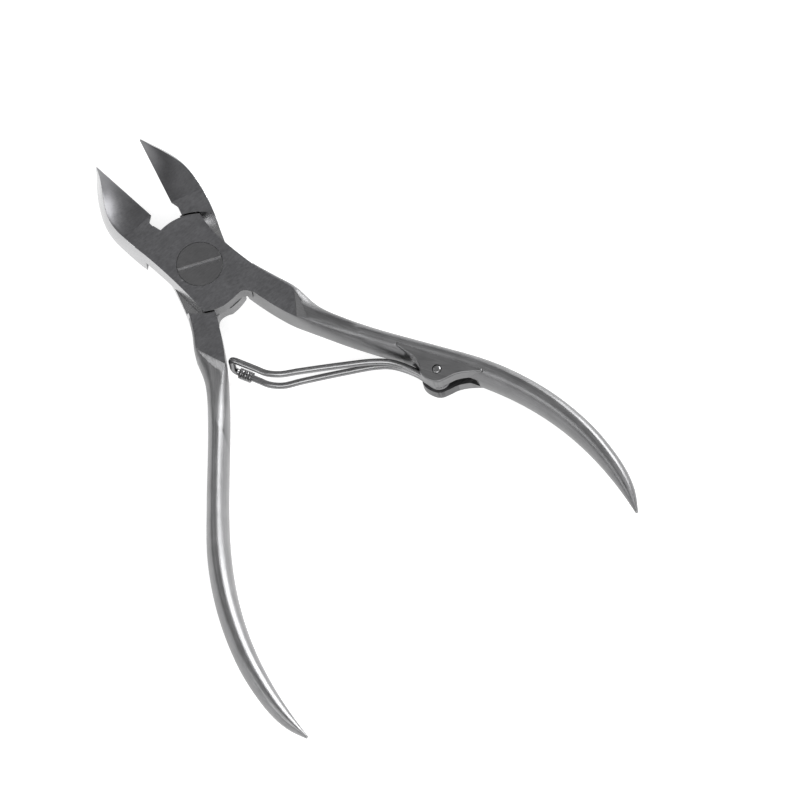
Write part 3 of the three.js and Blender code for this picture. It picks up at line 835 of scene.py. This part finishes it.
def grained_steel(name, colour, roughness, turn, across, length, depth, patchy, brushed=False):
    """Steel whose grain runs one way: each line is across wide, length long and depth deep, in millimetres.

    turn is the grain's direction in degrees and patchy how much it lightens and darkens the steel. On
    brushed steel the grain follows the handle, and the gloss is drawn out across it.
    """
    material = bpy.data.materials.new(name)
    material.use_nodes = True
    links = material.node_tree.links
    shader = material.node_tree.nodes["Principled BSDF"]
    shader.inputs["Metallic"].default_value = 1
    place = node(material, "ShaderNodeTexCoord")
    brushing = node(material, "ShaderNodeAttribute", attribute_name="brushing")
    grain_place = node(
        material,
        "ShaderNodeMapping",
        {"Vector": brushing.outputs["Vector"] if brushed else place.outputs["Object"]},
        Rotation=(0, 0, math.radians(-turn)),
        Scale=(1 / (length * MM), 1 / (across * MM), 1 / (across * MM)),
    )
    grain = node(
        material,
        "ShaderNodeTexNoise",
        {"Vector": grain_place.outputs["Vector"]},
        Scale=1,
        Detail=4,
        Roughness=0.65,
    )
    cloud = node(
        material,
        "ShaderNodeTexNoise",
        {"Vector": place.outputs["Object"]},
        Scale=1 / (CLOUD_SIZE * MM),
        Detail=3,
    )
    shade = node(
        material,
        "ShaderNodeMapRange",
        {"Value": grain.outputs["Fac"]},
        From_Min=GRAIN_LOW,
        From_Max=GRAIN_HIGH,
        To_Min=1 - patchy,
        To_Max=1 + patchy,
    )
    cloud_shade = node(
        material,
        "ShaderNodeMapRange",
        {"Value": cloud.outputs["Fac"]},
        From_Min=GRAIN_LOW,
        From_Max=GRAIN_HIGH,
        To_Min=1 - patchy * CLOUD_SHARE,
        To_Max=1 + patchy * CLOUD_SHARE,
    )
    both = node(
        material,
        "ShaderNodeMath",
        {0: shade.outputs["Result"], 1: cloud_shade.outputs["Result"]},
        operation="MULTIPLY",
    )
    tint = node(material, "ShaderNodeVectorMath", {1: both.outputs["Value"]}, operation="MULTIPLY")
    tint.inputs[0].default_value = linear(colour)[:3]
    links.new(tint.outputs["Vector"], shader.inputs["Base Color"])
    rough = node(
        material,
        "ShaderNodeMapRange",
        {"Value": grain.outputs["Fac"]},
        From_Min=GRAIN_LOW,
        From_Max=GRAIN_HIGH,
        To_Min=roughness - GRAIN_ROUGHNESS_STEP,
        To_Max=roughness + GRAIN_ROUGHNESS_STEP,
    )
    links.new(rough.outputs["Result"], shader.inputs["Roughness"])
    bump = node(
        material,
        "ShaderNodeBump",
        {"Height": grain.outputs["Fac"]},
        Strength=1,
        Distance=depth * MM,
    )
    links.new(bump.outputs["Normal"], shader.inputs["Normal"])
    if brushed:
        round_pivot = node(material, "ShaderNodeTangent", direction_type="RADIAL", axis="Z")
        links.new(round_pivot.outputs["Tangent"], shader.inputs["Tangent"])
        shader.inputs["Anisotropic"].default_value = BRUSHED_STRETCH
    return material


# Stainless steel brushed along the right handle: soft broad highlights that run with the handle. Its colour
# is darker than the left handle's: painted shade, as the right handle takes less light.
satin_shaded_right = grained_steel(
    "satin_steel_painted_shade_right",
    colour="#7a7a7b",
    roughness=0.42,
    turn=0,
    across=0.25,
    length=9,
    depth=0.006,
    patchy=0.16,
    brushed=True,
)

# The same brushing on the left handle, a shade lighter: painted light, as the left handle takes more light
# than the right one.
satin_lit_left = grained_steel(
    "satin_steel_painted_light_left",
    colour="#868687",
    roughness=0.42,
    turn=0,
    across=0.25,
    length=9,
    depth=0.006,
    patchy=0.16,
    brushed=True,
)

# Steel ground flat on a fine wheel: the joint, the lap and the jaws look even, dark and dull.
ground = grained_steel(
    "ground_steel",
    colour="#68686a",
    roughness=0.46,
    turn=20,
    across=0.25,
    length=0.8,
    depth=0.006,
    patchy=0.14,
)

# Steel left as the wheel cut it: deeper scratches that mottle the spring slot and the lug beside it. The
# scratches are real; its darker colour is partly painted shade in the slot and on the rear cheek's inner
# wall.
rough_ground_and_shade = grained_steel(
    "rough_ground_steel_painted_shade",
    colour="#626263",
    roughness=0.4,
    turn=5,
    across=0.3,
    length=4,
    depth=0.02,
    patchy=0.3,
)

# Steel buffed on a cloth wheel: the jaws' outsides and the joint's left wall mirror the room brightly. Its
# low roughness is the real polish; its colour, far lighter than the other steels, is painted reflection.
polished_and_painted_light = grained_steel(
    "polished_steel_painted_light",
    colour="#b4b4b5",
    roughness=0.24,
    turn=90,
    across=0.15,
    length=3,
    depth=0.003,
    patchy=0.06,
)

# The screw's head, ground with the joint but along its slot: a disc a little apart from the face.
turned_face = grained_steel(
    "turned_screw_steel",
    colour="#6c6c6d",
    roughness=0.4,
    turn=SCREW_TURN,
    across=0.1,
    length=1.5,
    depth=0.005,
    patchy=0.12,
)

# Drawn spring wire: smooth and fairly bright, with faint lines. The screw slot is as bright as this: painted
# light, lighter than the screw head around it.
drawn_wire = grained_steel(
    "drawn_spring_steel",
    colour="#8a8a8b",
    roughness=0.3,
    turn=-25,
    across=0.2,
    length=4,
    depth=0.004,
    patchy=0.15,
)

# Places of the finishes on each half, with painted light and painted shade among them.
SATIN, GROUND, POLISHED_AND_PAINTED_LIGHT, ROUGH_GROUND_AND_SHADE = range(4)
CREASE_SLACK = 0.05
FLAT_LEAN = 0.6
WALL_LEAN = 0.5
JAW_SIDE_LEAN = 0.38
FACE_SKIN = 0.5
SLOT_SKIN = 1.56
LUG_REACH = 7
CHEEK_REACH = 4
CHEEK_LEAN = 0.4


def in_lug_slot(face):
    """True on the slot's walls and on the inner side of the lug's rear cheek, where the scratched steel is
    darkened as painted shade.
    """
    x, y, z = face.center / MM
    from_pin = math.hypot(x - PIN_X, y - PIN_Y)
    if from_pin >= LUG_REACH or z >= MIDDLE + SLOT_SKIN:
        return False
    inwards = face.normal.dot(Vector((*turned(1, PIN_TURN - 90), 0)))
    return abs(z - MIDDLE) < SLOT_SKIN or (inwards > CHEEK_LEAN and from_pin < CHEEK_REACH)


def give_finishes_and_painted_light(piece, handle, jaw):
    """Ground faces on the joint and jaws up to the creases, polished walls and edges beside them. The light
    polished colour on the left-facing walls and flats only is painted light; the darker ground steel on the
    right wall is partly painted shade.
    """
    way = crease_way(handle)
    ahead = Vector(turned(1, jaw["turn"]))
    outwards = Vector((ahead.y, -ahead.x, 0)) * jaw["side"]
    for face in piece.data.polygons:
        x, y, z = face.center / MM
        beyond = (x * handle["side"] - handle["crease"][0]) * way[0] + (y - handle["crease"][1]) * way[1]
        # The slot and the rear cheek's inner wall get the darker scratched steel: real scratches with
        # painted shade.
        if handle["side"] > 0 and in_lug_slot(face):
            face.material_index = ROUGH_GROUND_AND_SHADE
        if beyond > CREASE_SLACK:
            continue
        flat = abs(face.normal.z) > FLAT_LEAN
        if y > JAW_LAP:
            steep = face.normal.dot(outwards) > JAW_SIDE_LEAN
            face.material_index = POLISHED_AND_PAINTED_LIGHT if steep else GROUND
        elif flat and not FACE_SKIN < z < TOP - FACE_SKIN:
            face.material_index = GROUND
        # Mid-height flats: the lighter polished colour on the left side is painted light; the right side
        # gets the darker ground steel.
        elif flat:
            face.material_index = POLISHED_AND_PAINTED_LIGHT if x < 0 else GROUND
        # Left-facing walls take the lighter polished colour: painted light on the side that faces the light.
        elif y > -8 and face.normal.x < -WALL_LEAN:
            face.material_index = POLISHED_AND_PAINTED_LIGHT
        # The right-facing wall takes the darker, rougher ground steel: partly rougher grinding, partly
        # painted shade that dims its reflection.
        elif y > -4 and face.normal.x > WALL_LEAN:
            face.material_index = GROUND


front = front_half()
front.data.materials.append(satin_shaded_right)
front.data.materials.append(ground)
front.data.materials.append(polished_and_painted_light)
front.data.materials.append(rough_ground_and_shade)
give_finishes_and_painted_light(front, RIGHT_HANDLE, LEFT_JAW)
mark_run(front, RIGHT_HANDLE)
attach(front, "front")
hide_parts("front_half")

back = back_half()
back.data.materials.append(satin_lit_left)
back.data.materials.append(ground)
back.data.materials.append(polished_and_painted_light)
give_finishes_and_painted_light(back, LEFT_HANDLE, RIGHT_JAW)
mark_run(back, LEFT_HANDLE)
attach(back, "back")
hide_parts("back_half")

joint_screw = screw()
joint_screw.data.materials.append(turned_face)
joint_screw.data.materials.append(drawn_wire)
SLOT_PAINTED_LIGHT = 1
END_SKIN = 0.1
# The slot's faces and the screw's sides take the brighter wire colour: painted light in the slot.
for face in joint_screw.data.polygons:
    if END_SKIN < face.center.z / MM < TOP - END_SKIN:
        face.material_index = SLOT_PAINTED_LIGHT
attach(joint_screw, "back")
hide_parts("joint_screw")

spring_pin = pin()
spring_pin.data.materials.append(drawn_wire)
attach(spring_pin, "front")
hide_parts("spring_pin")

bent_wire = spring()
bent_wire.data.materials.append(drawn_wire)
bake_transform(bent_wire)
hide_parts("wire_spring")

coiled_sleeve = sleeve()
coiled_sleeve.data.materials.append(drawn_wire)
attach(coiled_sleeve, "spring")
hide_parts("spring_sleeve")


# ---- Floor, light and camera ----

# White acrylic lit from below: an even white floor on which the part throws hardly any shadow.
FLOOR_DROP = 0.3
FLOOR_SIZE = 3
WORLD_GREY = 0.3
bpy.ops.object.select_all(action="DESELECT")
bpy.ops.mesh.primitive_plane_add(size=FLOOR_SIZE, location=(0, 0, cad_box[0][2] - FLOOR_DROP * MM))
floor = fresh("floor")
lit_acrylic = bpy.data.materials.new("lit_white_acrylic")
lit_acrylic.use_nodes = True
acrylic = lit_acrylic.node_tree.nodes["Principled BSDF"]
acrylic.inputs["Base Color"].default_value = linear("#bebebe")
acrylic.inputs["Roughness"].default_value = 0.9
acrylic.inputs["Specular IOR Level"].default_value = 0.1
acrylic.inputs["Emission Color"].default_value = linear("#ffffff")
acrylic.inputs["Emission Strength"].default_value = 0.75
floor.data.materials.append(lit_acrylic)

world = bpy.data.worlds.new("studio")
world.use_nodes = True
world.node_tree.nodes["Background"].inputs["Color"].default_value = (WORLD_GREY, WORLD_GREY, WORLD_GREY, 1)
bpy.context.scene.world = world
bpy.context.scene.view_settings.view_transform = "Standard"


LAMP_DISTANCE = 0.8
PART_MIDDLE_Y = -0.03


def aimed_lamp(name, kind, turn, height, power):
    """A lamp round the part, at a compass turn and a height in degrees, aimed at its middle."""
    x, y = turned(math.cos(math.radians(height)) * LAMP_DISTANCE, turn)
    z = math.sin(math.radians(height)) * LAMP_DISTANCE
    bpy.ops.object.light_add(type=kind, location=(x, y + PART_MIDDLE_Y, z))
    lamp = bpy.context.object
    lamp.name = name
    lamp.data.energy = power
    lamp.rotation_euler = Vector((x, y, z)).to_track_quat("Z", "Y").to_euler()
    return lamp


def softbox(name, turn, height, width, tall, power):
    lamp = aimed_lamp(name, "AREA", turn, height, power)
    lamp.data.shape = "RECTANGLE"
    lamp.data.size = width
    lamp.data.size_y = tall


overhead = aimed_lamp("overhead_sun", "SUN", turn=-115, height=58, power=1.3)
overhead.data.angle = math.radians(40)
softbox("right_softbox", turn=8, height=27, width=0.38, tall=0.7, power=9)
softbox("left_softbox", turn=188, height=24, width=0.5, tall=0.3, power=1.5)
softbox("tip_softbox", turn=116, height=50, width=0.25, tall=0.25, power=0.35)

# The camera looks down from the handles' end, 21 degrees off straight down.
CAMERA_DISTANCE = 0.4
AIM_HEIGHT = 6.87
VIEW_TILT = math.radians(20.82)
VIEW_TURN = math.radians(-111.6)
VIEW_ROLL = math.radians(75.73)
VIEW_WIDTH = 154.1
VIEW_SHIFT = (38.6, 26.2)
tilt_way = Vector((math.cos(VIEW_TURN), math.sin(VIEW_TURN), 0))
cross_way = Vector((math.sin(VIEW_TURN), -math.cos(VIEW_TURN), 0))
to_camera = tilt_way * math.sin(VIEW_TILT) + Vector((0, 0, math.cos(VIEW_TILT)))
down_tilt = tilt_way * math.cos(VIEW_TILT) - Vector((0, 0, math.sin(VIEW_TILT)))
right = down_tilt * math.cos(VIEW_ROLL) - cross_way * math.sin(VIEW_ROLL)
down = down_tilt * math.sin(VIEW_ROLL) + cross_way * math.cos(VIEW_ROLL)
bpy.ops.object.camera_add()
camera = bpy.context.object
camera.name = "camera"
camera.data.type = "ORTHO"
camera.data.ortho_scale = VIEW_WIDTH * MM
aim = Vector((0, 0, AIM_HEIGHT * MM)) + right * VIEW_SHIFT[0] * MM + down * VIEW_SHIFT[1] * MM
place = aim + to_camera * CAMERA_DISTANCE
facing = Matrix((right, -down, to_camera)).transposed()
camera.matrix_world = Matrix.Translation(place) @ facing.to_4x4()
bpy.context.scene.camera = camera
